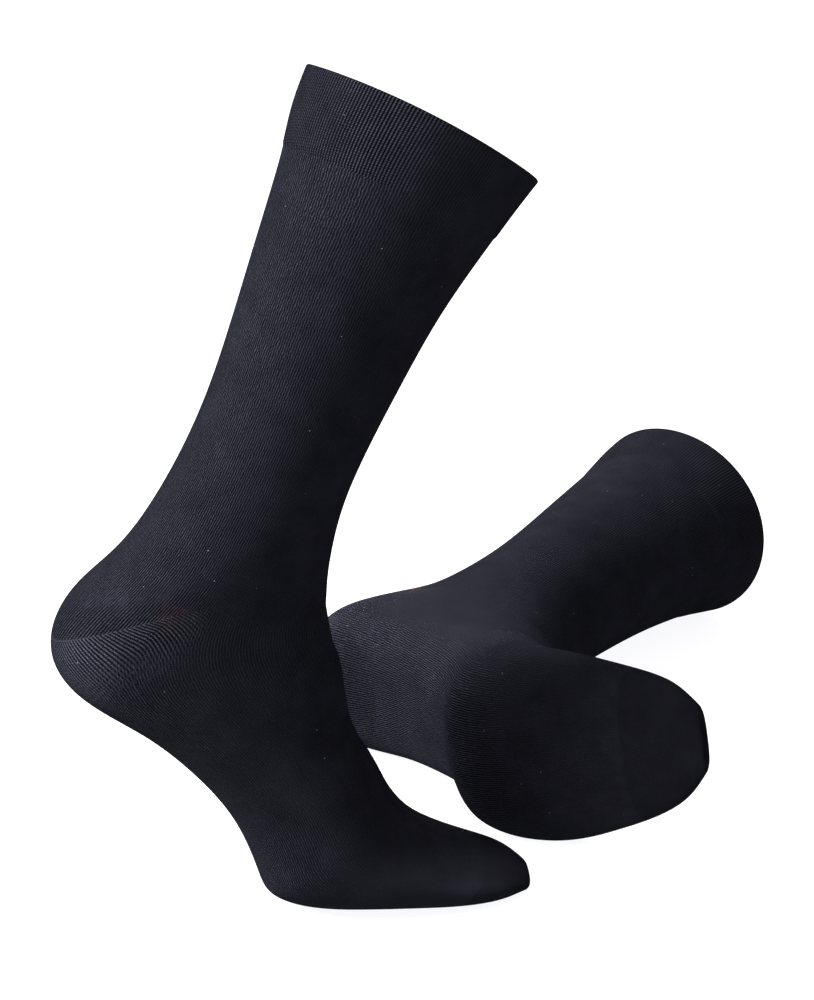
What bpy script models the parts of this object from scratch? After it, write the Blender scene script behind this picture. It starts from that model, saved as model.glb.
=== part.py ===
"""A pair of men's fine-knit dress socks of mid-calf length, filled out to the form of a foot and lower leg.

Both socks share one form: the heel is raised, the ball and toes are flat and the leg leans forward over the toes.
One sock stands on the flat underside of its ball and toes. The other lies on its side behind it.
Each sock is a knitted tube, made here of the stretches that the knitting machine makes: welt, leg, heel pocket,
foot and toe pocket. Each stretch is a thin closed wall, open where the sock is open.
"""

import math

import bpy
import numpy as np
from mathutils import Matrix

MM = 0.001

# ---- driving sizes, millimetres -------------------------------------------------------------------------------------
WALL_WELT = 2.0  # the welt is two layers of ribbed knit
WALL_LEG = 1.2
WALL_HEEL = 1.5
WALL_FOOT = 1.2
WALL_TOE = 1.4
SEAM_GAP = 0.3  # between two stretches that meet
TOE_GAP = 0.5  # between foot and toe, where the seam runs aslant round the thin edges of the toe
COLUMNS = 32  # facets round the tube
RIM_SECTION = 0.43  # section where the rim lies at the calf and the shin
RIM_SPARE = 12.0  # how far the form runs on above that
STANDING_RIM = (12.2, -5.5)  # how much higher its rim is pulled at the outer side and at the inner side
LYING_RIM = (-7.7, 1.6)
WELT_END = 1.86  # section where the welt ends at the calf and the shin, counted along SECTIONS
WELT_SPACING = 25.0  # length of a section there
GORE_SECTION = 8.85  # section of the line between the two halves of the heel pocket, at the middle of the back
GORE_LIFT = 0.9  # how far that line rises towards the pocket's corners, in sections
GORE_COLUMNS = 8  # half the width of the heel pocket at its corners, in columns from the middle of the back
HEEL_RISE = 1.1  # how far the pocket reaches above that line at the middle of the back, in sections
HEEL_DROP = 2.3  # and how far below it, under the sole
TOE_SECTION_TOP = 19.2  # where the toe pocket begins on top of the foot
TOE_SECTION_SOLE = 18.8  # and on the sole
LEG_LEAN = 0.94  # degrees that the leg leans to its side
LEAN_FROM = 60.0  # height where it begins to lean
SETTLE = 1.5  # how far the lying sock's round side is pressed flat by the surface under it

# Sections of the form from the rim to the toe, in the sock's own frame: x towards the toes, z up from the flat of the
# forefoot. back and front are the section's ends in the middle plane (calf, heel and sole are back; shin, instep and
# top of the toes are front). half_width is to the side, widest is where along the section that is (0 back, 1 front),
# and the two rounds are the exponents of the section's curve on each half (2 is an ellipse, more is squarer). aside is
# how far the section's middle stands to the left: the foot form is a little curved.
COLUMN_NAMES = ("back_x", "back_z", "front_x", "front_z", "half_width", "widest", "back_round", "front_round", "aside")
SECTIONS = (
    ("rim", 19.7, 409.6, 123.4, 352.4, 60.9, 0.50, 2.0, 2.0, -1.6),
    ("welt", 6.5, 380.0, 106.4, 330.3, 55.1, 0.50, 2.0, 2.0, -1.8),
    ("welt_end", 3.4, 360.6, 97.1, 317.0, 50.8, 0.50, 2.0, 2.0, -1.7),
    ("calf", -9.6, 320.2, 74.0, 284.6, 46.1, 0.50, 2.0, 2.0, -1.2),
    ("shin", -21.3, 281.7, 56.4, 251.2, 42.6, 0.50, 2.0, 2.0, -0.4),
    ("low_leg", -34.1, 242.7, 39.9, 219.1, 40.1, 0.52, 2.0, 2.0, 0.4),
    ("ankle", -52.1, 205.4, 28.0, 191.9, 39.7, 0.54, 2.0, 2.0, 1.2),
    ("ankle_bone", -75.5, 170.0, 22.4, 165.7, 38.9, 0.48, 2.0, 2.0, 1.7),
    ("heel_top", -99.4, 153.9, 20.5, 149.9, 39.7, 0.38, 2.1, 2.0, 0.6),
    ("heel_back", -113.1, 127.7, 21.0, 134.1, 40.5, 0.29, 2.2, 2.0, -2.0),
    ("heel_bottom", -99.6, 105.7, 26.4, 119.9, 39.7, 0.29, 2.3, 2.0, -3.5),
    ("arch_back", -67.6, 89.6, 29.2, 102.9, 39.8, 0.29, 2.3, 2.0, -3.0),
    ("arch", -41.6, 65.1, 30.6, 86.7, 41.3, 0.33, 2.3, 2.0, -1.2),
    ("arch_front", -22.9, 40.0, 36.6, 74.1, 44.0, 0.54, 2.4, 2.0, 0.2),
    ("ball_back", -13.2, 13.2, 44.9, 60.3, 46.5, 0.54, 2.8, 2.0, 0.9),
    ("ball_edge", -11.1, 4.0, 49.8, 48.0, 49.4, 0.54, 2.5, 2.0, 1.7),
    ("ball", 7.0, -1.5, 58.4, 35.5, 50.6, 0.54, 2.5, 2.0, 3.6),
    ("ball_front", 31.5, -1.0, 67.6, 25.6, 49.3, 0.54, 2.5, 2.2, 4.0),
    ("toe_roots", 55.5, -0.7, 78.9, 19.2, 44.6, 0.54, 2.7, 2.4, 3.4),
    ("toes", 80.1, -0.6, 92.7, 15.2, 39.4, 0.42, 2.8, 2.6, 2.8),
    ("toe_pads", 99.2, -0.5, 105.1, 12.2, 32.4, 0.46, 2.8, 2.6, 2.2),
    ("toe_front", 109.3, 0.3, 112.3, 8.8, 23.0, 0.50, 2.6, 2.6, 1.5),
    ("tip", 113.3, 0.8, 116.6, 6.0, 17.5, 0.50, 2.4, 2.4, 0.7),
)


# ---- where each sock lies (its own frame in the part's frame) ---------------------------------------------------------
STANDING_TURN = 4.0  # degrees about the upright axis
STANDING_AT = (-78.4, -194.6)  # millimetres
LYING_TURN = -95.63
LYING_ROLL = -81.77  # -90 would put its side exactly down
LYING_TILT = -85.35
LYING_AT = (10.8, -141.5)

KNITS = {  # colour (linear), roughness
    "rib_knit": ((0.013, 0.013, 0.018, 1.0), 0.9),
    "plain_knit": ((0.010, 0.010, 0.014, 1.0), 0.88),
    "dense_knit": ((0.012, 0.012, 0.016, 1.0), 0.92),
}


def turn_matrix(axis, degrees):
    """A rotation about one axis as a 3 x 3 array."""
    a = math.radians(degrees)
    c, s = math.cos(a), math.sin(a)
    return np.array({
        "x": ((1, 0, 0), (0, c, -s), (0, s, c)),
        "y": ((c, 0, s), (0, 1, 0), (-s, 0, c)),
        "z": ((c, -s, 0), (s, c, 0), (0, 0, 1)),
    }[axis])


def section_values(u):
    """The columns of SECTIONS at the section positions u, blended by a uniform cubic B-spline."""
    rows = np.array([row[1:] for row in SECTIONS], dtype=float)
    rows = np.vstack([2 * rows[0] - rows[1], rows, 2 * rows[-1] - rows[-2]])
    i = np.clip(np.floor(u).astype(int), 0, len(rows) - 4)
    f = (u - i)[..., None]
    return (
        (1 - f) ** 3 / 6 * rows[i]
        + (3 * f**3 - 6 * f**2 + 4) / 6 * rows[i + 1]
        + (-3 * f**3 + 3 * f**2 + 3 * f + 1) / 6 * rows[i + 2]
        + f**3 / 6 * rows[i + 3]
    )


def form(u, a):
    """Points of the sock's outer form in millimetres, at section position u and angle a from the middle of the back."""
    back_x, back_z, front_x, front_z, half_width, widest, back_round, front_round, aside = np.moveaxis(
        section_values(u), -1, 0
    )
    c, s = -np.cos(a), -np.sin(a)
    n = np.where(c < 0, back_round, front_round)
    r = (np.abs(c) ** n + np.abs(s) ** n) ** (-1 / n)
    along = widest + r * c * np.where(c < 0, widest, 1 - widest)
    height = back_z + (front_z - back_z) * along
    side = aside + half_width * r * s + math.tan(math.radians(LEG_LEAN)) * np.maximum(height - LEAN_FROM, 0)
    return np.stack([back_x + (front_x - back_x) * along, side, height], -1)


def outward(u, a, e=1e-3):
    """Unit normals of the form, pointing out."""
    last = len(SECTIONS) - 1
    du = form(np.minimum(u + e, last), a) - form(np.maximum(u - e, 0), a)
    da = form(u, a + e) - form(u, a - e)
    n = np.cross(du, da)
    n /= np.maximum(np.linalg.norm(n, axis=-1, keepdims=True), 1e-12)
    centre = form(u, np.zeros_like(a)) * 0.5 + form(u, np.full_like(a, math.pi)) * 0.5
    flip = np.sign(((form(u, a) - centre) * n).sum(-1, keepdims=True))
    return n * np.where(flip == 0, 1, flip)


class Place:
    """Where one sock is: its turn, its place on the surface, how far its round side settles on it, and its rim."""

    def __init__(self, name, turn, at, settle, pulled):
        self.name, self.turn, self.settle, self.pulled = name, turn, settle, pulled
        self.at = np.array((at[0], at[1], 0.0))
        share, a = np.meshgrid(np.linspace(0, 1, 200), np.linspace(-math.pi, math.pi, 180), indexing="ij")
        rim = rim_line(a, pulled)
        low = (form(rim + share * (len(SECTIONS) - 1 - rim), a) @ turn.T)[..., 2].min()
        self.at[2] = 0.0 if settle == 0 else -low - settle

    def walls(self, u, a, wall):
        """The outer and inner points in the sock's own frame, pressed flat where they meet the surface."""
        out, normal = form(u, a), outward(u, a)
        pair = []
        for points, floor in ((out, 0.0), (out - normal * wall, max(wall, WALL_HEEL))):
            world = points @ self.turn.T + self.at
            world[..., 2] = np.maximum(world[..., 2], floor)
            pair.append((world - self.at) @ self.turn)
        return pair


def stretch_solid(name, place, u, a, wall, slot, ring, cap=False):
    """One stretch of the tube as a closed wall: a grid of outer points, one of inner points and the edges between."""
    outer, inner = place.walls(u, a, wall)
    rows, cols = u.shape
    points = [*outer.reshape(-1, 3), *inner.reshape(-1, 3)]
    below = rows * cols
    faces = []
    steps = cols if ring else cols - 1
    for i in range(rows - 1):
        for j in range(steps):
            k = (j + 1) % cols
            p, q, r, s = i * cols + j, i * cols + k, (i + 1) * cols + k, (i + 1) * cols + j
            faces.append((p, q, r, s))
            faces.append((below + s, below + r, below + q, below + p))
    for j in range(steps):  # the edge at the upper end, and at the lower end unless it is capped
        k = (j + 1) % cols
        faces.append((below + j, below + k, k, j))
        if not cap:
            p, q = (rows - 1) * cols + j, (rows - 1) * cols + k
            faces.append((p, q, below + q, below + p))
    if not ring:  # the two side edges
        for i in range(rows - 1):
            p, s = i * cols, (i + 1) * cols
            faces.append((p, s, below + s, below + p))
            p, s = i * cols + cols - 1, (i + 1) * cols + cols - 1
            faces.append((below + p, below + s, s, p))
    if cap:  # the closed end of the toe, outer and inner
        for base, turned in ((0, False), (below, True)):
            ends = [base + (rows - 1) * cols + j for j in range(cols)]
            points.append(np.mean([points[e] for e in ends], axis=0))
            centre = len(points) - 1
            for j in range(cols):
                p, q = ends[j], ends[(j + 1) % cols]
                faces.append((q, p, centre) if turned else (p, q, centre))
    coordinates = np.array(points) * MM
    volume = 0.0
    for f in faces:
        for j in range(1, len(f) - 1):
            volume += np.dot(coordinates[f[0]], np.cross(coordinates[f[j]], coordinates[f[j + 1]]))
    if volume < 0:
        faces = [tuple(reversed(f)) for f in faces]
    mesh = bpy.data.meshes.new(name)
    mesh.from_pydata(coordinates.tolist(), [], faces)
    mesh.shade_smooth()
    mesh.set_sharp_from_angle(angle=math.radians(50))
    mesh.materials.append(bpy.data.materials[slot])
    mesh.update()
    piece = bpy.data.objects.new(name, mesh)
    bpy.context.scene.collection.objects.link(piece)
    piece.parent = bpy.data.objects[place.name]
    return piece


def lens(a):
    """1 at the middle of the back, falling to 0 at the two corners of the heel pocket and beyond."""
    corner = GORE_COLUMNS * 2 * math.pi / COLUMNS
    return np.sqrt(np.clip(1 - (np.abs(a) / corner) ** 2, 0, 1))


def gore_line(a):
    """Section position of the line between the halves of the heel pocket, carried on round the front from its corners."""
    corner = GORE_COLUMNS * 2 * math.pi / COLUMNS
    return GORE_SECTION - GORE_LIFT * np.clip(np.abs(a) / corner, 0, 1) ** 1.7


def raised(a, pulled):
    """Millimetres that the cuff is pulled higher at the outer and at the inner side."""
    outer, inner = pulled
    return (outer - inner) / 2 * np.sin(a) + (outer + inner) / 2 * np.sin(a) ** 2


def rim_line(a, pulled):
    """Section position of the rim."""
    return RIM_SECTION * (1 - raised(a, pulled) / RIM_SPARE)


def welt_line(a, pulled):
    """Section position of the welt's lower edge."""
    return WELT_END - raised(a, pulled) / WELT_SPACING


def seam_shift(u, a, sign, gap=SEAM_GAP):
    """Moves a boundary along the tube, so that it is half of the seam's gap away at right angles to the seam."""
    e = 1e-3
    along = np.linalg.norm(form(u + e, a) - form(u - e, a), axis=-1) / (2 * e)
    round_it = np.linalg.norm(form(u, a + e) - form(u, a - e), axis=-1) / (2 * e)
    slope = np.gradient(u, a) * along / np.maximum(round_it, 1e-6)
    return u + sign * gap / 2 * np.sqrt(1 + slope**2) / np.maximum(along, 1e-6)


def between(upper, lower, a, rows):
    """A grid of section positions from the upper boundary to the lower one, with the seam's gap at both ends."""
    share = np.linspace(0, 1, rows)[:, None]
    return upper[None] * (1 - share) + lower[None] * share, np.broadcast_to(a, (rows, len(a))).copy()


def make_sock(place):
    """The five stretches of one sock."""
    holder = bpy.data.objects.new(place.name, None)
    bpy.context.scene.collection.objects.link(holder)
    matrix = np.eye(4)
    matrix[:3, :3] = place.turn
    matrix[:3, 3] = place.at * MM
    holder.matrix_world = Matrix(matrix.tolist())

    a = np.arange(COLUMNS) * 2 * math.pi / COLUMNS - math.pi
    step = 2 * math.pi / COLUMNS
    zero = np.zeros_like(a)
    last = len(SECTIONS) - 1.0
    pocket_top = gore_line(a) - HEEL_RISE * lens(a)
    pocket_end = gore_line(a) + HEEL_DROP * lens(a)
    toe_line = TOE_SECTION_SOLE + (TOE_SECTION_TOP - TOE_SECTION_SOLE) * (1 - np.cos(a)) / 2
    welt_edge = welt_line(a, place.pulled)
    name = place.name

    u, g = between(rim_line(a, place.pulled), seam_shift(welt_edge, a, -1), a, 4)
    stretch_solid(f"{name}_welt", place, u, g, WALL_WELT, "rib_knit", True)
    u, g = between(seam_shift(welt_edge, a, 1), seam_shift(pocket_top, a, -1), a, 9)
    stretch_solid(f"{name}_leg", place, u, g, WALL_LEG, "plain_knit", True)
    u, g = between(seam_shift(pocket_end, a, 1), seam_shift(toe_line, a, -1, TOE_GAP), a, 14)
    stretch_solid(f"{name}_foot", place, u, g, WALL_FOOT, "plain_knit", True)
    u, g = between(seam_shift(toe_line, a, 1, TOE_GAP), zero + last, a, 6)
    stretch_solid(f"{name}_toe", place, u, g, WALL_TOE, "dense_knit", True, cap=True)

    # the heel pocket: the columns of the back, with blunt ends just short of its two corners
    b = np.arange(-GORE_COLUMNS, GORE_COLUMNS + 1) * step
    top, end = gore_line(b) - HEEL_RISE * lens(b), gore_line(b) + HEEL_DROP * lens(b)
    top, end = seam_shift(top, b, 1), seam_shift(end, b, -1)
    for side, near in ((0, 1), (-1, -2)):
        top[side] = 0.15 * top[near] + 0.85 * top[side]
        end[side] = 0.15 * end[near] + 0.85 * end[side]
        b[side] = 0.15 * b[near] + 0.85 * b[side]
    u, g = between(top, end, b, 9)
    stretch_solid(f"{name}_heel", place, u, g, WALL_HEEL, "dense_knit", False)


for old in list(bpy.data.objects):
    bpy.data.objects.remove(old, do_unlink=True)
for slot, (colour, roughness) in KNITS.items():
    material = bpy.data.materials.get(slot) or bpy.data.materials.new(slot)
    material.use_nodes = True
    shader = next(n for n in material.node_tree.nodes if n.type == "BSDF_PRINCIPLED")
    shader.inputs["Base Color"].default_value = colour
    shader.inputs["Roughness"].default_value = roughness
    shader.inputs["Metallic"].default_value = 0.0
make_sock(Place("standing", turn_matrix("z", STANDING_TURN), STANDING_AT, 0.0, STANDING_RIM))
make_sock(
    Place(
        "lying",
        turn_matrix("z", LYING_TURN) @ turn_matrix("x", LYING_ROLL) @ turn_matrix("y", LYING_TILT),
        LYING_AT,
        SETTLE,
        LYING_RIM,
    )
)
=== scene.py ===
"""The looks of the pair of socks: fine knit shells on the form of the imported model, with rib, heel pocket and toe pocket."""
import math

import bpy
import numpy as np
from mathutils import Matrix


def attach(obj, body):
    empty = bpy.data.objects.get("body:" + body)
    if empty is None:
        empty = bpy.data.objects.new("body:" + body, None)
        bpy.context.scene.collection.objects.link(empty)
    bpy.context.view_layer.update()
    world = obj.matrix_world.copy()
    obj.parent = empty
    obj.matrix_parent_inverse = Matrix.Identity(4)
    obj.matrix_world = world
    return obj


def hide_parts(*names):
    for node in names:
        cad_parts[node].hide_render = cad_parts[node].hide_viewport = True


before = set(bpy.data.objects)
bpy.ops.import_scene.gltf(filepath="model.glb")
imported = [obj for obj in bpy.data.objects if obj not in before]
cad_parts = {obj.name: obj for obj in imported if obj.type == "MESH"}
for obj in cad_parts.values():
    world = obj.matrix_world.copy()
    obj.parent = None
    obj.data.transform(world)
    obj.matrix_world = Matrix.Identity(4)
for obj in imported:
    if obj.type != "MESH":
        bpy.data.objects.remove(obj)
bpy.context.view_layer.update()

MM = 0.001

# ---- the form, as in part.py (millimetres) --------------------------------------------------------------------------
WALL_WELT = 2.0  # the welt is two layers of ribbed knit
WALL_LEG = 1.2
WALL_HEEL = 1.5
WALL_FOOT = 1.2
WALL_TOE = 1.4
RIM_SECTION = 0.43  # section where the rim lies at the calf and the shin
RIM_SPARE = 12.0  # how far the form runs on above that
STANDING_RIM = (12.2, -5.5)  # how much higher its rim is pulled at the outer side and at the inner side
LYING_RIM = (-7.7, 1.6)
WELT_END = 1.86  # section where the welt ends at the calf and the shin, counted along SECTIONS
WELT_SPACING = 25.0  # length of a section there
GORE_SECTION = 8.85  # section of the line between the two halves of the heel pocket, at the middle of the back
GORE_LIFT = 0.9  # how far that line rises towards the pocket's corners, in sections
HEEL_RISE = 1.1  # how far the pocket reaches above that line at the middle of the back, in sections
HEEL_DROP = 2.3  # and how far below it, under the sole
TOE_SECTION_TOP = 19.2  # where the toe pocket begins on top of the foot
TOE_SECTION_SOLE = 18.8  # and on the sole
LEG_LEAN = 0.94  # degrees that the leg leans to its side
LEAN_FROM = 60.0  # height where it begins to lean
SETTLE = 1.5  # how far the lying sock's round side is pressed flat by the surface under it
STANDING_TURN = 4.0  # degrees about the upright axis
STANDING_AT = (-78.4, -194.6)  # millimetres
LYING_TURN = -95.63
LYING_ROLL = -81.77  # -90 would put its side exactly down
LYING_TILT = -85.35
LYING_AT = (10.8, -141.5)
COLUMNS = 32
GORE_COLUMNS = 8
POCKET_CORNER = GORE_COLUMNS * 2 * math.pi / COLUMNS  # angle from the middle of the back to the corners of the heel pocket

COLUMN_NAMES = ("back_x", "back_z", "front_x", "front_z", "half_width", "widest", "back_round", "front_round", "aside")
SECTIONS = (
    ("rim", 19.7, 409.6, 123.4, 352.4, 60.9, 0.50, 2.0, 2.0, -1.6),
    ("welt", 6.5, 380.0, 106.4, 330.3, 55.1, 0.50, 2.0, 2.0, -1.8),
    ("welt_end", 3.4, 360.6, 97.1, 317.0, 50.8, 0.50, 2.0, 2.0, -1.7),
    ("calf", -9.6, 320.2, 74.0, 284.6, 46.1, 0.50, 2.0, 2.0, -1.2),
    ("shin", -21.3, 281.7, 56.4, 251.2, 42.6, 0.50, 2.0, 2.0, -0.4),
    ("low_leg", -34.1, 242.7, 39.9, 219.1, 40.1, 0.52, 2.0, 2.0, 0.4),
    ("ankle", -52.1, 205.4, 28.0, 191.9, 39.7, 0.54, 2.0, 2.0, 1.2),
    ("ankle_bone", -75.5, 170.0, 22.4, 165.7, 38.9, 0.48, 2.0, 2.0, 1.7),
    ("heel_top", -99.4, 153.9, 20.5, 149.9, 39.7, 0.38, 2.1, 2.0, 0.6),
    ("heel_back", -113.1, 127.7, 21.0, 134.1, 40.5, 0.29, 2.2, 2.0, -2.0),
    ("heel_bottom", -99.6, 105.7, 26.4, 119.9, 39.7, 0.29, 2.3, 2.0, -3.5),
    ("arch_back", -67.6, 89.6, 29.2, 102.9, 39.8, 0.29, 2.3, 2.0, -3.0),
    ("arch", -41.6, 65.1, 30.6, 86.7, 41.3, 0.33, 2.3, 2.0, -1.2),
    ("arch_front", -22.9, 40.0, 36.6, 74.1, 44.0, 0.54, 2.4, 2.0, 0.2),
    ("ball_back", -13.2, 13.2, 44.9, 60.3, 46.5, 0.54, 2.8, 2.0, 0.9),
    ("ball_edge", -11.1, 4.0, 49.8, 48.0, 49.4, 0.54, 2.5, 2.0, 1.7),
    ("ball", 7.0, -1.5, 58.4, 35.5, 50.6, 0.54, 2.5, 2.0, 3.6),
    ("ball_front", 31.5, -1.0, 67.6, 25.6, 49.3, 0.54, 2.5, 2.2, 4.0),
    ("toe_roots", 55.5, -0.7, 78.9, 19.2, 44.6, 0.54, 2.7, 2.4, 3.4),
    ("toes", 80.1, -0.6, 92.7, 15.2, 39.4, 0.42, 2.8, 2.6, 2.8),
    ("toe_pads", 99.2, -0.5, 105.1, 12.2, 32.4, 0.46, 2.8, 2.6, 2.2),
    ("toe_front", 109.3, 0.3, 112.3, 8.8, 23.0, 0.50, 2.6, 2.6, 1.5),
    ("tip", 113.3, 0.8, 116.6, 6.0, 17.5, 0.50, 2.4, 2.4, 0.7),
)

LAST = len(SECTIONS) - 1.0


def turn_matrix(axis, degrees):
    """A rotation about one axis as a 3 x 3 array."""
    a = math.radians(degrees)
    c, s = math.cos(a), math.sin(a)
    return np.array({
        "x": ((1, 0, 0), (0, c, -s), (0, s, c)),
        "y": ((c, 0, s), (0, 1, 0), (-s, 0, c)),
        "z": ((c, -s, 0), (s, c, 0), (0, 0, 1)),
    }[axis])


def section_values(u):
    """The columns of SECTIONS at the section positions u, blended by a uniform cubic B-spline."""
    rows = np.array([row[1:] for row in SECTIONS], dtype=float)
    rows = np.vstack([2 * rows[0] - rows[1], rows, 2 * rows[-1] - rows[-2]])
    i = np.clip(np.floor(u).astype(int), 0, len(rows) - 4)
    f = (u - i)[..., None]
    return (
        (1 - f) ** 3 / 6 * rows[i]
        + (3 * f**3 - 6 * f**2 + 4) / 6 * rows[i + 1]
        + (-3 * f**3 + 3 * f**2 + 3 * f + 1) / 6 * rows[i + 2]
        + f**3 / 6 * rows[i + 3]
    )


def form(u, a):
    """Points of the sock's outer form in millimetres, at section position u and angle a from the middle of the back."""
    back_x, back_z, front_x, front_z, half_width, widest, back_round, front_round, aside = np.moveaxis(
        section_values(u), -1, 0
    )
    c, s = -np.cos(a), -np.sin(a)
    n = np.where(c < 0, back_round, front_round)
    r = (np.abs(c) ** n + np.abs(s) ** n) ** (-1 / n)
    along = widest + r * c * np.where(c < 0, widest, 1 - widest)
    height = back_z + (front_z - back_z) * along
    side = aside + half_width * r * s + math.tan(math.radians(LEG_LEAN)) * np.maximum(height - LEAN_FROM, 0)
    return np.stack([back_x + (front_x - back_x) * along, side, height], -1)


def outward(u, a, e=1e-3):
    """Unit normals of the form, pointing out."""
    last = len(SECTIONS) - 1
    du = form(np.minimum(u + e, last), a) - form(np.maximum(u - e, 0), a)
    da = form(u, a + e) - form(u, a - e)
    n = np.cross(du, da)
    n /= np.maximum(np.linalg.norm(n, axis=-1, keepdims=True), 1e-12)
    centre = form(u, np.zeros_like(a)) * 0.5 + form(u, np.full_like(a, math.pi)) * 0.5
    flip = np.sign(((form(u, a) - centre) * n).sum(-1, keepdims=True))
    return n * np.where(flip == 0, 1, flip)


def gore_line(a):
    """Section position of the line between the halves of the heel pocket, carried on round the front from its corners."""
    corner = GORE_COLUMNS * 2 * math.pi / COLUMNS
    return GORE_SECTION - GORE_LIFT * np.clip(np.abs(a) / corner, 0, 1) ** 1.7


def raised(a, pulled):
    """Millimetres that the cuff is pulled higher at the outer and at the inner side."""
    outer, inner = pulled
    return (outer - inner) / 2 * np.sin(a) + (outer + inner) / 2 * np.sin(a) ** 2


def rim_line(a, pulled):
    """Section position of the rim."""
    return RIM_SECTION * (1 - raised(a, pulled) / RIM_SPARE)


def welt_line(a, pulled):
    """Section position of the welt's lower edge."""
    return WELT_END - raised(a, pulled) / WELT_SPACING


# ---- the visual shells ----------------------------------------------------------------------------------------------
WALES = 288  # columns of stitches round the tube
AROUND = 160  # facets round a shell
ROW_STEP = 1.9  # millimetres between its rows
ROLL_ROWS = 7  # rows that carry a rim over from the outside to the inside
CREASES = (  # soft troughs in front of the ankle: section, half the arc in degrees, middle of it, depth, half width
    ("bend_upper", 8.3, 62.0, 172.0, 0.35, 0.22),
    ("bend", 9.6, 70.0, 182.0, 0.6, 0.3),
    ("bend_lower", 11.1, 55.0, 176.0, 0.4, 0.26),
    ("instep", 12.9, 48.0, 184.0, 0.25, 0.3),
)

FINE = np.linspace(0, LAST, 441)
FINE_A = np.linspace(-math.pi, math.pi, 721)
_grid = form(*np.broadcast_arrays(FINE[:, None], FINE_A[None]))
_run = np.concatenate(
    [np.zeros((len(FINE), 1)), np.cumsum(np.linalg.norm(np.diff(_grid, axis=1), axis=-1), axis=1)], axis=1
)
FINE_SHARE = (_run - _run[:, [360]]) / _run[:, [-1]]
_mid = _grid[:, :-1].mean(1)
FINE_V = np.concatenate([[0.0], np.cumsum(np.linalg.norm(np.diff(_mid, axis=0), axis=1))])


def knit_uv(u, a):
    """Wale number and distance along the tube in millimetres at each point."""
    k = np.clip(u / (FINE[1] - FINE[0]), 0, len(FINE) - 1.001)
    j = np.clip((a + math.pi) / (FINE_A[1] - FINE_A[0]), 0, len(FINE_A) - 1.001)
    i, m = k.astype(int), j.astype(int)
    f, g, s = k - i, j - m, FINE_SHARE
    upper = (1 - g) * s[i, m] + g * s[i, m + 1]
    lower = (1 - g) * s[i + 1, m] + g * s[i + 1, m + 1]
    return ((1 - f) * upper + f * lower) * WALES, np.interp(u, FINE, FINE_V)


_along = np.concatenate(
    [np.zeros((1, len(FINE_A))), np.cumsum(np.linalg.norm(np.diff(_grid, axis=0), axis=-1), axis=0)], axis=0
)


def from_gore(u, a):
    """Millimetres along the wale from the line between the pocket's halves, negative above it."""

    def run(u):
        k = np.clip(u / (FINE[1] - FINE[0]), 0, len(FINE) - 1.001)
        j = np.clip((a + math.pi) / (FINE_A[1] - FINE_A[0]), 0, len(FINE_A) - 1.001)
        i, m = k.astype(int), j.astype(int)
        f, g = k - i, j - m
        return (1 - f) * ((1 - g) * _along[i, m] + g * _along[i, m + 1]) + f * ((1 - g) * _along[i + 1, m] + g * _along[i + 1, m + 1])

    line = GORE_SECTION - GORE_LIFT * (np.abs(a) / POCKET_CORNER) ** 1.7  # also beyond the pocket's corners
    return run(u) - run(line + 0 * u)


def lens(a):
    return np.sqrt(np.clip(1 - (np.abs(a) / POCKET_CORNER) ** 2, 0, 1))


def pocket_top(a):
    return gore_line(a) - HEEL_RISE * lens(a)


def pocket_end(a):
    return gore_line(a) + HEEL_DROP * lens(a)


def toe_line(a):
    return TOE_SECTION_SOLE + (TOE_SECTION_TOP - TOE_SECTION_SOLE) * (1 - np.cos(a)) / 2


def relief(u, a):
    """Millimetres that the cloth stands in from the smooth form: the soft creases."""
    deep = np.zeros(np.broadcast(u, a).shape)
    turn = np.degrees(np.mod(a, 2 * math.pi))
    for _, section, arc, middle, depth, width in CREASES:
        wander = 0.12 * np.sin(np.radians(turn - middle) * 2.3 + section)
        deep = deep + depth * np.exp(-(((turn - middle) / arc) ** 2) * 1.6 - ((u - section - wander) / width) ** 2)
    return deep


def from_corner(u, a):
    """Millimetres from the nearer corner of the heel pocket."""
    corner = form(np.array(gore_line(np.array(POCKET_CORNER))), np.array(POCKET_CORNER))
    points = form(u, np.abs(a))
    return np.linalg.norm(points - corner, axis=-1)


class Place:
    def __init__(self, name, turn, at, settle, pulled):
        self.name, self.turn, self.pulled = name, turn, pulled
        self.at = np.array((at[0], at[1], 0.0))
        share, a = np.meshgrid(np.linspace(0, 1, 200), np.linspace(-math.pi, math.pi, 180), indexing="ij")
        rim = rim_line(a, pulled)
        low = (form(rim + share * (LAST - rim), a) @ turn.T)[..., 2].min()
        self.at[2] = 0.0 if settle == 0 else -low - settle

    def walls(self, u, a, wall, proud=0.0):
        """Outer and inner points in the part's frame, pressed flat where they meet the surface."""
        out, normal = form(u, a), outward(u, a)
        out = out - normal * (relief(u, a) - proud)[..., None]
        pair = []
        for points, floor in ((out, 0.0), (out - normal * (wall + proud)[..., None], wall + 0.3)):
            world = points @ self.turn.T + self.at
            world[..., 2] = np.maximum(world[..., 2], floor)
            pair.append(world)
        return pair, normal @ self.turn.T


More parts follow.
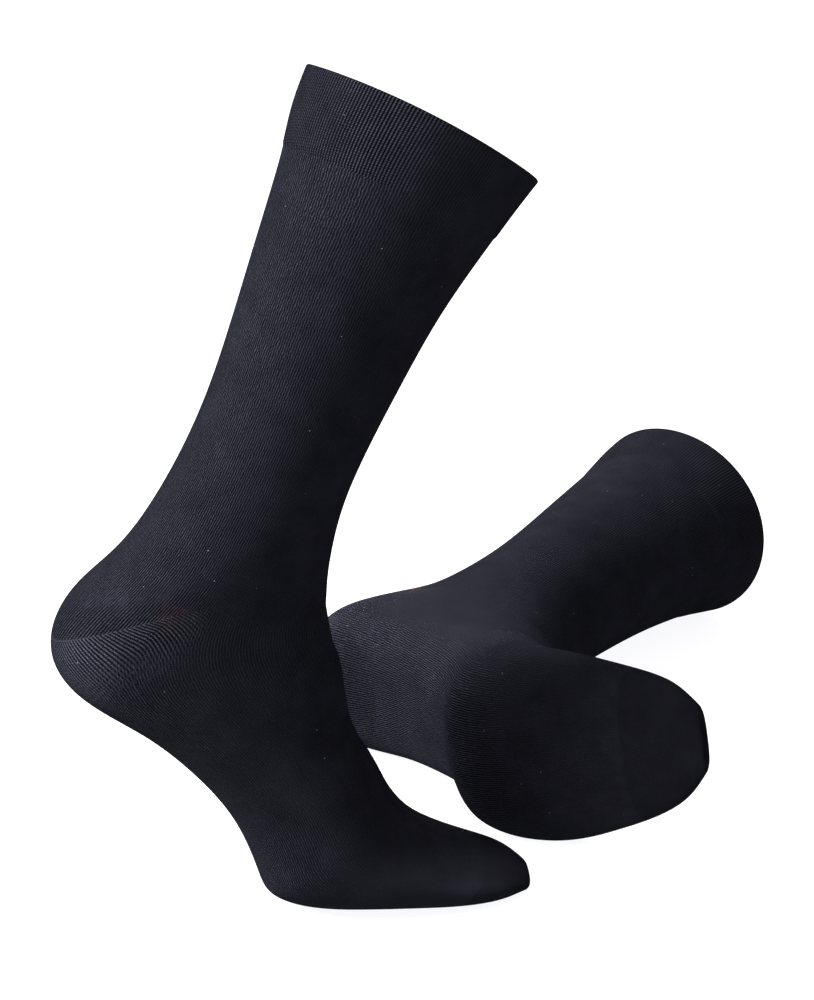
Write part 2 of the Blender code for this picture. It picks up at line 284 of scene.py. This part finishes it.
def add_mesh(name, points, faces, uvs, material, node):
    """A mesh object from points in millimetres, faces and their corners' (wale, course, seam, corner) values."""
    points = np.asarray(points) * MM
    volume = sum(
        float(np.dot(points[f[0]], np.cross(points[f[j]], points[f[j + 1]]))) for f in faces for j in range(1, len(f) - 1)
    )
    if volume < 0:
        faces = [tuple(reversed(f)) for f in faces]
        uvs = [tuple(reversed(c)) for c in uvs]
    mesh = bpy.data.meshes.new(name)
    mesh.from_pydata(points.tolist(), [], faces)
    values = np.array([corner for face in uvs for corner in face], dtype=np.float32)
    for k, label in ((0, "Knit"), (2, "Seam")):
        layer = mesh.uv_layers.new(name=label)
        layer.data.foreach_set("uv", values[:, k : k + 2].ravel())
    mesh.uv_layers.active = mesh.uv_layers["Knit"]
    mesh.shade_smooth()
    mesh.set_sharp_from_angle(angle=math.radians(60))
    mesh.materials.append(material)
    mesh.update()
    piece = bpy.data.objects.new(name, mesh)
    bpy.context.scene.collection.objects.link(piece)
    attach(piece, "root")
    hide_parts(node)
    half_area = sum(p.area for p in mesh.polygons) / 2
    return piece, half_area


def values_at(u, a):
    """What the materials go by at each point: wale, course, distance from the gore line and from the pocket's corner."""
    w, v = knit_uv(u, a)
    return np.stack(np.broadcast_arrays(w, v, from_gore(u, a), from_corner(u, a)), -1)


def tube_shell(name, place, top, end, wall, material, node, roll_top=False, cap=False, proud=None):
    """A stretch that runs all round: outside down, inside up, closed over both edges, or capped at the toe."""
    a = np.arange(AROUND + 1) * 2 * math.pi / AROUND - math.pi  # the last column is the first again, for its values
    upper, lower = top(a), end(a)
    length = np.interp(lower.mean(), FINE, FINE_V) - np.interp(upper.mean(), FINE, FINE_V)
    rows = max(8, int(length / ROW_STEP))
    share = np.linspace(0, 1, rows)[:, None]
    u = upper[None] * (1 - share) + lower[None] * share
    g = np.broadcast_to(a, u.shape)
    thick = np.full(u.shape, wall)
    stand = np.zeros(u.shape) if proud is None else proud(u, upper[None], lower[None])
    (outer, inner), normal = place.walls(u, g, thick, stand)
    value = values_at(u, g)
    profile, marks = [], []  # rows of points and of their values, from the rim down outside and up inside
    if roll_top:
        centre = (outer[0] + inner[0]) / 2
        half = (outer[0] - inner[0]) / 2
        up = outer[0] - outer[1]
        up /= np.linalg.norm(up, axis=-1, keepdims=True)
        size = np.linalg.norm(half, axis=-1, keepdims=True)
        for t in np.linspace(math.pi, 0, ROLL_ROWS + 2)[1:-1]:
            profile.append(centre + half * math.cos(t) + up * size * math.sin(t))
            row = value[0].copy()
            row[:, 1] -= size[:, 0] * (1 + math.cos(math.pi - t))
            marks.append(row)
    profile += list(outer)
    marks += list(value)
    if not cap:
        profile += list(inner[::-1])
        marks += list(value[::-1])
    n = AROUND
    points = [row[:n] for row in profile]
    faces, uvs = [], []

    def quads(first, second, p, q, m0, m1):
        for j in range(n):
            k = (j + 1) % n
            faces.append((p + j, p + k, q + k, q + j))
            uvs.append((tuple(m0[j]), tuple(m0[j + 1]), tuple(m1[j + 1]), tuple(m1[j])))

    if not cap:
        count = len(points)
        for i in range(count):
            j = (i + 1) % count
            quads(None, None, i * n, j * n, marks[i], marks[j])
        cloud = np.concatenate(points)
    else:
        # the toe closes in a rounded end, outside and inside
        ends = []
        for ring, grid, shrink in ((outer, value, 1.0), (inner, value, 0.72)):
            mid = ring[-1][:n].mean(0)
            ahead = ring[-1].mean(0) - ring[-3].mean(0)
            ahead /= np.linalg.norm(ahead)
            rest = []
            for t in (0.32, 0.62, 0.84):
                rest.append(
                    (mid + (ring[-1] - mid) * math.cos(t * math.pi / 2) + ahead * 1.8 * shrink * math.sin(t * math.pi / 2),
                     grid[-1] + np.array([0, 1.0 * t * 3, 0, 0]))
                )
            ends.append((rest, mid + ahead * 1.8 * shrink, grid[-1] + np.array([0, 4.0, 0, 0])))
        out_rows = list(outer) + [r for r, _ in ends[0][0]]
        out_marks = list(value) + [m for _, m in ends[0][0]]
        in_rows = list(inner) + [r for r, _ in ends[1][0]]
        in_marks = list(value) + [m for _, m in ends[1][0]]
        cloud = np.concatenate([row[:n] for row in out_rows] + [row[:n] for row in in_rows])
        cloud = np.concatenate([cloud, [ends[0][1]], [ends[1][1]]])
        count = len(out_rows)
        for i in range(count - 1):
            quads(None, None, i * n, (i + 1) * n, out_marks[i], out_marks[i + 1])
        base = count * n
        for i in range(count - 1):
            quads(None, None, base + (i + 1) * n, base + i * n, in_marks[i + 1], in_marks[i])
        quads(None, None, base, 0, in_marks[0], out_marks[0])
        for first, pole, marks_row, turned in ((base - n, len(cloud) - 2, ends[0][2], False), (2 * base - n, len(cloud) - 1, ends[1][2], True)):
            for j in range(n):
                k = (j + 1) % n
                f = (first + j, first + k, pole)
                m = (tuple(marks_row[j]), tuple(marks_row[j + 1]), tuple(marks_row[j]))
                faces.append(tuple(reversed(f)) if turned else f)
                uvs.append(tuple(reversed(m)) if turned else m)
    return add_mesh(name, cloud, faces, uvs, material, node)


def heel_shell(name, place, wall, material, node):
    """The heel pocket: a grid between its upper and lower edge, closed round its rim."""
    cols, rows = 97, 45
    b = np.sin(np.linspace(-math.pi / 2, math.pi / 2, cols)) * POCKET_CORNER * 0.9995
    share = np.linspace(0, 1, rows)[:, None]
    u = pocket_top(b)[None] * (1 - share) + pocket_end(b)[None] * share
    g = np.broadcast_to(b, u.shape)
    (outer, inner), normal = place.walls(u, g, np.full(u.shape, wall), np.zeros(u.shape))
    value = values_at(u, g)
    cloud = np.concatenate([outer.reshape(-1, 3), inner.reshape(-1, 3)])
    below = rows * cols
    faces, uvs = [], []
    for i in range(rows - 1):
        for j in range(cols - 1):
            p, q, r, s = i * cols + j, i * cols + j + 1, (i + 1) * cols + j + 1, (i + 1) * cols + j
            m = (tuple(value[i, j]), tuple(value[i, j + 1]), tuple(value[i + 1, j + 1]), tuple(value[i + 1, j]))
            faces.append((p, q, r, s))
            uvs.append(m)
            faces.append((below + s, below + r, below + q, below + p))
            uvs.append(tuple(reversed(m)))
    rim = (
        [(0, j) for j in range(cols - 1)]
        + [(i, cols - 1) for i in range(rows - 1)]
        + [(rows - 1, j) for j in range(cols - 1, 0, -1)]
        + [(i, 0) for i in range(rows - 1, 0, -1)]
    )
    for k, (i, j) in enumerate(rim):
        i2, j2 = rim[(k + 1) % len(rim)]
        p, q = i * cols + j, i2 * cols + j2
        faces.append((below + p, below + q, q, p))
        m, n = tuple(value[i, j]), tuple(value[i2, j2])
        uvs.append((m, n, n, m))
    return add_mesh(name, cloud, faces, uvs, material, node)


# ---- materials ------------------------------------------------------------------------------------------------------
YARN_DARK = (0.0005, 0.0005, 0.0008)
YARN_LIT = (0.0276, 0.0285, 0.0392)  # at 1 / 0.6 of the brightest stitch
PULLED = (0.024, 0.011, 0.013)
COURSE = 1.15  # millimetres from one row of stitches to the next
RIBS = 220  # ribs round the welt
FINE_WALES = 228  # ribs that show on the plain knit
PATTERN = 0.86  # how much of the pattern is the yarn's own lightness, the rest is its relief
RIB_COURSE = 1.25
GRAIN = 3.2  # how unevenly the yarn shines
SHEEN_TINT = (0.80, 0.80, 1.0)


class Graph:
    """Short names for building a node material."""

    def __init__(self, name):
        self.material = bpy.data.materials.new(name)
        self.material.use_nodes = True
        self.tree = self.material.node_tree
        self.shader = next(n for n in self.tree.nodes if n.type == "BSDF_PRINCIPLED")

    def link(self, value, socket):
        if isinstance(value, bpy.types.NodeSocket):
            self.tree.links.new(value, socket)
        else:
            socket.default_value = value

    def math(self, operation, a, b=None, c=None, clamp=False):
        node = self.tree.nodes.new("ShaderNodeMath")
        node.operation = operation
        node.use_clamp = clamp
        for k, value in enumerate((a, b, c)):
            if value is not None:
                self.link(value, node.inputs[k])
        return node.outputs[0]

    def uv(self, label):
        node = self.tree.nodes.new("ShaderNodeUVMap")
        node.uv_map = label
        split = self.tree.nodes.new("ShaderNodeSeparateXYZ")
        self.tree.links.new(node.outputs[0], split.inputs[0])
        return split.outputs[0], split.outputs[1]

    def place(self, x, y, z=0.0):
        node = self.tree.nodes.new("ShaderNodeCombineXYZ")
        for k, value in enumerate((x, y, z)):
            self.link(value, node.inputs[k])
        return node.outputs[0]

    def noise(self, vector, scale, detail=2.0, rough=0.5):
        node = self.tree.nodes.new("ShaderNodeTexNoise")
        self.link(vector, node.inputs["Vector"])
        node.inputs["Scale"].default_value = scale
        node.inputs["Detail"].default_value = detail
        node.inputs["Roughness"].default_value = rough
        return node.outputs[0]

    def position(self):
        node = self.tree.nodes.new("ShaderNodeTexCoord")
        return node.outputs["Object"]

    def voronoi(self, vector, scale):
        node = self.tree.nodes.new("ShaderNodeTexVoronoi")
        self.link(vector, node.inputs["Vector"])
        node.inputs["Scale"].default_value = scale
        return node.outputs["Distance"], node.outputs["Color"]

    def spread(self, value, low, high, to_low=0.0, to_high=1.0, smooth=True):
        node = self.tree.nodes.new("ShaderNodeMapRange")
        node.interpolation_type = "SMOOTHSTEP" if smooth else "LINEAR"
        self.link(value, node.inputs["Value"])
        node.inputs["From Min"].default_value = low
        node.inputs["From Max"].default_value = high
        node.inputs["To Min"].default_value = to_low
        node.inputs["To Max"].default_value = to_high
        return node.outputs["Result"]

    def blend(self, share, a, b):
        node = self.tree.nodes.new("ShaderNodeMix")
        node.data_type = "RGBA"
        self.link(share, node.inputs[0])
        for value, socket in ((a, node.inputs[6]), (b, node.inputs[7])):
            if isinstance(value, tuple):
                socket.default_value = (*value, 1.0)
            else:
                self.tree.links.new(value, socket)
        return node.outputs[2]

    def wave(self, value, power=1.0):
        """0 in the groove to 1 on the ridge, once for each whole number."""
        turn = self.math("MULTIPLY", value, 2 * math.pi)
        up = self.math("MULTIPLY_ADD", self.math("COSINE", turn), 0.5, 0.5)
        return up if power == 1.0 else self.math("POWER", self.math("MAXIMUM", up, 1e-4), power)


CALM_FROM, CALM_TO, BACK_FROM, BACK_TO = (float(np.interp(u, FINE, FINE_V)) for u in (14.6, 16.8, 11.5, 14.5))


def knit_material(name, kind):
    g = Graph(name)
    wale, course = g.uv("Knit")
    seam, corner = g.uv("Seam")
    where = g.position()
    slow = g.noise(where, 9.0, 2.0)
    mottle = g.noise(where, 70.0, 3.0, 0.6)
    grain = g.noise(where, 1300.0, 2.0, 0.6)
    if kind == "rib":
        rib = g.math("MULTIPLY", wale, RIBS / WALES)
        ridge = g.wave(rib, 1.2)
        slanted = g.math("MULTIPLY", g.math("SUBTRACT", g.math("FRACT", g.math("ADD", rib, 0.5)), 0.5), 0.9)
        row = g.math("MULTIPLY_ADD", g.math("FLOOR", g.math("ADD", rib, 0.5)), 0.35, g.math("DIVIDE", course, RIB_COURSE))
        bead = g.wave(g.math("ADD", row, slanted), 1.0)
        height = g.math("MULTIPLY", ridge, g.math("MULTIPLY_ADD", bead, 0.6, 0.4))
        deep, lift, middle = 0.0007, 1.0, 0.34
    else:
        fine_wale = g.math("MULTIPLY", wale, FINE_WALES / WALES)
        wander = g.math("MULTIPLY", g.math("SUBTRACT", g.noise(where, 420.0, 1.0), 0.5), 0.9)
        fine = g.wave(g.math("ADD", fine_wale, wander), 1.5)
        part = g.math("ABSOLUTE", g.math("SUBTRACT", g.math("FRACT", fine_wale), 0.5))
        row = g.math("MULTIPLY_ADD", part, 0.9, g.math("DIVIDE", course, COURSE))
        stitch = g.wave(row)
        height = g.math("MULTIPLY", fine, g.math("MULTIPLY_ADD", stitch, 0.35, 0.6))
        deep, lift, middle = 0.0005, 1.0, 0.33
        if kind != "toe":
            # in and round the pocket: fine stitches aslant above the gore line, broad ribs the other way below it
            away = g.math("ABSOLUTE", wale)
            w = g.math("DIVIDE", away, 40.0)
            s = g.math("DIVIDE", seam, 15.0)
            turn_up = g.math("MULTIPLY_ADD", s, -1.57, g.math("MULTIPLY_ADD", w, 2.85, 17.75))
            turn_up = g.math("MULTIPLY_ADD", w, turn_up, g.math("MULTIPLY", s, g.math("MULTIPLY_ADD", s, 0.52, 3.72)))
            turn_down = g.math("MULTIPLY_ADD", s, 0.88, g.math("MULTIPLY_ADD", w, -1.76, 29.36))
            turn_down = g.math("MULTIPLY_ADD", w, turn_down, g.math("MULTIPLY", s, g.math("MULTIPLY_ADD", s, 1.2, -9.69)))
            upper = g.math("MULTIPLY", g.wave(g.math("ADD", turn_up, g.math("MULTIPLY", wander, 0.5)), 1.4), g.math("MULTIPLY_ADD", g.wave(g.math("DIVIDE", seam, 1.2)), 0.25, 0.5))
            broad = g.math("MULTIPLY", g.wave(g.math("ADD", turn_down, g.math("MULTIPLY", wander, 0.3)), 1.3), g.math("MULTIPLY_ADD", g.wave(g.math("DIVIDE", seam, 1.3)), 0.35, 1.1))
            high = g.math("MULTIPLY", g.spread(seam, -34.0, -14.0), g.spread(away, 60.0, 78.0, 1.0, 0.0))
            low = g.math("MULTIPLY", g.spread(seam, 12.0, 46.0, 1.0, 0.0), g.spread(away, 64.0, 86.0, 1.0, 0.0))
            side = g.spread(seam, -0.3, 0.3)
            above = g.math("MULTIPLY", high, g.math("SUBTRACT", 1.0, side))
            below = g.math("MULTIPLY", low, side)
            pocket = g.math("ADD", above, below)
            pattern = g.math("ADD", g.math("MULTIPLY", upper, above), g.math("MULTIPLY", broad, below))
            height = g.math("ADD", pattern, g.math("MULTIPLY", height, g.math("SUBTRACT", 1.0, pocket)))
    speckle = g.math("MAXIMUM", g.math("MULTIPLY_ADD", g.math("SUBTRACT", grain, 0.5), GRAIN, 1.0), 0.0)
    # the yarn shades mostly by its relief: where light comes from all round, the pattern is faint
    shade = g.math("MULTIPLY", height, speckle)
    # painted shade: the knit's pattern is painted fainter over the shin and instep and under the forefoot, where these
    # faces lie in shade, and there the yarn takes three quarters of the pattern's mean tone; the yarn itself is the
    # same all over
    if kind == "rib":
        pattern_faded_in_shade = g.spread(g.math("ABSOLUTE", wale), 52.0, 84.0, 1.0, 0.25)
    else:
        pattern_faded_in_shade = g.spread(g.math("ABSOLUTE", wale), 34.0, 82.0, 1.0, 0.25)
        pattern_faded_in_shade = g.math("MULTIPLY", pattern_faded_in_shade, g.spread(course, CALM_FROM, CALM_TO, PATTERN, PATTERN * 0.2))
        if kind != "toe":
            pattern_faded_in_shade = g.math("MAXIMUM", pattern_faded_in_shade, pocket)
    shade = g.math("ADD", g.math("MULTIPLY", shade, pattern_faded_in_shade), g.math("MULTIPLY", g.math("SUBTRACT", 1.0, pattern_faded_in_shade), middle * 0.75))
    shade = g.math("MULTIPLY", shade, g.math("MULTIPLY_ADD", mottle, 0.9, 0.55))
    shade = g.math("MULTIPLY", shade, g.math("MULTIPLY_ADD", slow, 0.5, 0.75))
    # painted shade: the yarn is painted a little darker up the back of the sock, and painted light makes it a little
    # lighter towards the toe; the yarn itself has one tone
    back = g.math("MULTIPLY", g.spread(g.math("ABSOLUTE", wale), 6.0, 42.0, 1.0, 0.0), g.spread(course, BACK_FROM, BACK_TO, 1.0, 0.0))
    shade = g.math("MULTIPLY", shade, g.math("MULTIPLY_ADD", back, -0.36 if kind == "heel" else -0.22, 1.0))
    # painted light: the plain knit is painted up to 28% lighter over the forefoot
    if kind == "plain":
        shade = g.math("MULTIPLY", shade, g.spread(course, BACK_TO, CALM_TO, 1.0, 1.28))
    if kind == "heel":
        # the gore line: the linked stitches show as a pale dotted line
        line = g.math("SUBTRACT", 1.0, g.spread(g.math("ABSOLUTE", g.math("ADD", seam, 0.2)), 0.2, 0.7))
        dots = g.math("MULTIPLY_ADD", g.wave(g.math("MULTIPLY", wale, 0.5)), 0.75, 0.25)
        shade = g.math("ADD", shade, g.math("MULTIPLY", g.math("MULTIPLY", line, dots), 0.35))
    pull = g.math("MULTIPLY", g.spread(corner, 0.5, 11.0, 1.0, 0.0), g.spread(mottle, 0.3, 0.7))
    shade = g.math("MINIMUM", shade, 1.6)
    colour = g.blend(g.math("MULTIPLY", shade, 0.6), YARN_DARK, YARN_LIT)
    # beside the corners of the heel pocket the cloth is pulled thin, and a little of a warm lining shows through
    colour = g.blend(g.math("MULTIPLY", pull, 0.5), colour, PULLED)
    # lint: a few pale fibre ends caught in the surface
    near, pick = g.voronoi(where, 150.0)
    chosen = g.math("GREATER_THAN", g.math("FRACT", g.math("MULTIPLY", pick, 7.31)), 0.72)
    speck = g.math("MULTIPLY", g.math("SUBTRACT", 1.0, g.spread(near, 0.02, 0.05)), chosen)
    colour = g.blend(g.math("MULTIPLY", speck, 0.7), colour, (0.14, 0.14, 0.16))
    g.link(colour, g.shader.inputs["Base Color"])
    rough = g.math("MULTIPLY_ADD", shade, -0.1, 0.94, clamp=True)
    g.link(rough, g.shader.inputs["Roughness"])
    g.shader.inputs["Metallic"].default_value = 0.0
    g.shader.inputs["Specular IOR Level"].default_value = 0.0
    g.shader.inputs["Sheen Weight"].default_value = 0.002
    g.shader.inputs["Sheen Roughness"].default_value = 0.45
    g.shader.inputs["Sheen Tint"].default_value = (*SHEEN_TINT, 1.0)
    bump = g.tree.nodes.new("ShaderNodeBump")
    bump.inputs["Strength"].default_value = lift
    bump.inputs["Distance"].default_value = deep
    raised_knit = g.math("MULTIPLY", height, g.math("MULTIPLY_ADD", speckle, 0.35, 0.65))
    g.link(g.math("MULTIPLY", raised_knit, g.math("MULTIPLY_ADD", pattern_faded_in_shade, 0.75, 0.25)), bump.inputs["Height"])
    g.tree.links.new(bump.outputs[0], g.shader.inputs["Normal"])
    return g.material


RIB = knit_material("rib_knit_look", "rib")
PLAIN = knit_material("plain_knit_look", "plain")
POCKET = knit_material("heel_knit_look", "heel")
TOE = knit_material("toe_knit_look", "toe")


def welt_proud(u, upper, lower):
    """The doubled welt stands a little proud of the leg and rounds off at its lower edge."""
    return 0.45 * np.clip((lower - u) / 0.09, 0, 1) ** 0.5


def make_sock(place):
    name = place.name
    made = {}
    flat = lambda value: (lambda a: np.zeros_like(a) + value)
    made["welt"] = tube_shell(f"{name}_welt_knit", place, lambda a: rim_line(a, place.pulled), lambda a: welt_line(a, place.pulled), WALL_WELT, RIB, f"{name}_welt", roll_top=True, proud=welt_proud)
    made["leg"] = tube_shell(f"{name}_leg_knit", place, lambda a: welt_line(a, place.pulled) - 0.02, pocket_top, WALL_LEG, PLAIN, f"{name}_leg")
    made["foot"] = tube_shell(f"{name}_foot_knit", place, pocket_end, toe_line, WALL_FOOT, PLAIN, f"{name}_foot")
    made["toe"] = tube_shell(f"{name}_toe_knit", place, toe_line, flat(LAST), WALL_TOE, TOE, f"{name}_toe", cap=True)
    made["heel"] = heel_shell(f"{name}_heel_knit", place, WALL_HEEL, POCKET, f"{name}_heel")
    for key, (piece, area) in made.items():
        print(piece.name, "tris", sum(len(p.vertices) - 2 for p in piece.data.polygons), "half area cm2", round(area * 1e4, 1))
    return made


SOCKS = [
    make_sock(Place("standing", turn_matrix("z", STANDING_TURN), STANDING_AT, 0.0, STANDING_RIM)),
    make_sock(Place("lying", turn_matrix("z", LYING_TURN) @ turn_matrix("x", LYING_ROLL) @ turn_matrix("y", LYING_TILT), LYING_AT, SETTLE, LYING_RIM)),
]

# ---- floor, light and camera ------------------------------------------------------------------------------------------
CAMERA_FOCAL_PX = 3376.8  # for a frame 1000 pixels high
CAMERA_PITCH = 17.41
CAMERA_SCALE = 2080.0  # pixels for a metre at the standing sock's foot
CAMERA_REF = (285.8, 887.4)  # where the middle of the back edge of its ball lies in the 814 x 1000 frame
FRAME_SIZE = (814.0, 1000.0)

floor_mesh = bpy.data.meshes.new("floor")
floor_mesh.from_pydata([(-9, -9, -0.0003), (9, -9, -0.0003), (9, 14, -0.0003), (-9, 14, -0.0003)], [], [(0, 1, 2, 3)])
floor = bpy.data.objects.new("floor", floor_mesh)
bpy.context.scene.collection.objects.link(floor)
pale = bpy.data.materials.new("floor_white")
pale.use_nodes = True
pale_shader = next(n for n in pale.node_tree.nodes if n.type == "BSDF_PRINCIPLED")
pale_shader.inputs["Base Color"].default_value = (0.16, 0.16, 0.16, 1)
pale_shader.inputs["Roughness"].default_value = 0.7
pale_shader.inputs["Emission Color"].default_value = (0.97, 0.97, 1.0, 1)
pale_shader.inputs["Emission Strength"].default_value = 0.95
floor_mesh.materials.append(pale)


def area_light(name, at, aim, size, watts, spread=180.0):
    data = bpy.data.lights.new(name, "AREA")
    data.shape = "RECTANGLE"
    data.size, data.size_y = size
    data.energy = watts
    data.spread = math.radians(spread)
    lamp = bpy.data.objects.new(name, data)
    at, aim = np.array(at, float), np.array(aim, float)
    ahead = (aim - at) / np.linalg.norm(aim - at)
    side = np.cross(ahead, (0, 0, 1.0))
    side /= np.linalg.norm(side)
    up = np.cross(side, ahead)
    m = np.eye(4)
    m[:3, 0], m[:3, 1], m[:3, 2], m[:3, 3] = side, up, -ahead, at
    lamp.matrix_world = Matrix(m.tolist())
    bpy.context.scene.collection.objects.link(lamp)
    return lamp


area_light("key", (-2.02, -0.74, 1.72), (-0.03, -0.05, 0.15), (1.2, 1.2), 520)
area_light("back", (0.45, 1.68, 1.4), (0, 0, 0.1), (1.2, 1.2), 8)
area_light("top", (-0.02, 0.10, 0.80), (-0.005, -0.04, 0.085), (0.12, 0.12), 0.2, spread=20.0)

world = bpy.data.worlds.new("studio")
world.use_nodes = True
world.node_tree.nodes["Background"].inputs[0].default_value = (1, 1, 1, 1)
world.node_tree.nodes["Background"].inputs[1].default_value = 0.95
bpy.context.scene.world = world
bpy.context.scene.view_settings.view_transform = "Standard"

pitch = math.radians(CAMERA_PITCH)
ahead = np.array((0, math.cos(pitch), -math.sin(pitch)))
right = np.array((1.0, 0, 0))
up = np.cross(right, ahead)
distance = CAMERA_FOCAL_PX / CAMERA_SCALE
shift_x = (CAMERA_REF[0] - FRAME_SIZE[0] / 2) / CAMERA_FOCAL_PX * distance
shift_y = (CAMERA_REF[1] - FRAME_SIZE[1] / 2) / CAMERA_FOCAL_PX * distance
target = np.array((STANDING_AT[0] * MM, STANDING_AT[1] * MM, 0.0))
eye = target - right * shift_x + up * shift_y - ahead * distance
camera_data = bpy.data.cameras.new("camera")
camera_data.sensor_width = 36.0
camera_data.lens = CAMERA_FOCAL_PX / FRAME_SIZE[1] * 36.0
camera_data.clip_start, camera_data.clip_end = 0.05, 60
camera = bpy.data.objects.new("camera", camera_data)
m = np.eye(4)
m[:3, 0], m[:3, 1], m[:3, 2], m[:3, 3] = right, up, -ahead, eye
camera.matrix_world = Matrix(m.tolist())
bpy.context.scene.collection.objects.link(camera)
bpy.context.scene.camera = camera
